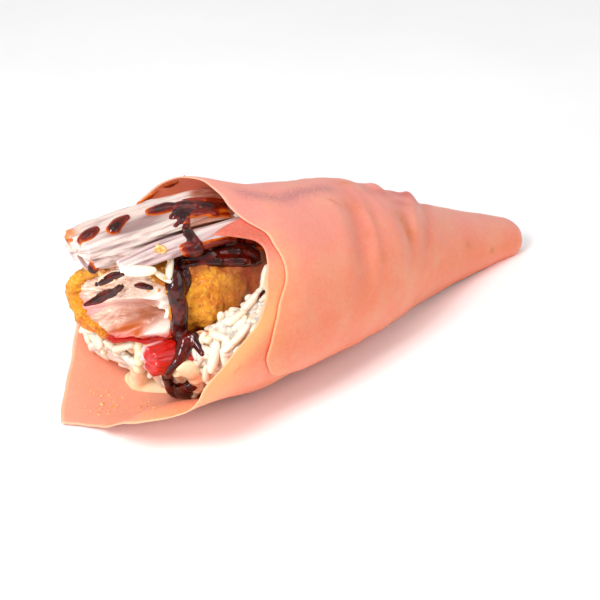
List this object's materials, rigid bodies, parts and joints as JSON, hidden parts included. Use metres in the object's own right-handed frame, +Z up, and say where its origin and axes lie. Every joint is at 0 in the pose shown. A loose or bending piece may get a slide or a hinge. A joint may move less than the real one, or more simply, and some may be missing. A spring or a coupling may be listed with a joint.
{
  "type": "temaki hand roll",
  "caption": "Cone of soy paper lying on its side, filled with rice, a breaded crab stick, pulled crab stick, mayonnaise and dark sauce.",
  "frame": {"origin": "middle of the bounding box on the table the roll lies on", "axes": "+X along the roll from its mouth to its tip, +Z up"},
  "size_m": [0.1426, 0.0541, 0.0508],
  "materials": {
    "soy_paper": "thin, slightly translucent salmon soy paper with a soft sheen",
    "cooked_rice": "moist cooked short-grain rice",
    "fried_crumb": "golden fried breadcrumb over white crab stick",
    "crab_stick": "moist white fibres",
    "crab_strip": "moist white fibres",
    "red_crab_stick": "wet red skin",
    "mayonnaise": "glossy orange-tinted mayonnaise"
  },
  "bodies": {
    "root": {"wrapper": "soy_paper", "rice": "cooked_rice", "breaded_stick": "fried_crumb", "crab_stick": "crab_stick", "crab_strip": "crab_strip", "red_crab_stick": "red_crab_stick", "mayonnaise": "mayonnaise"}
  },
  "joints": []
}
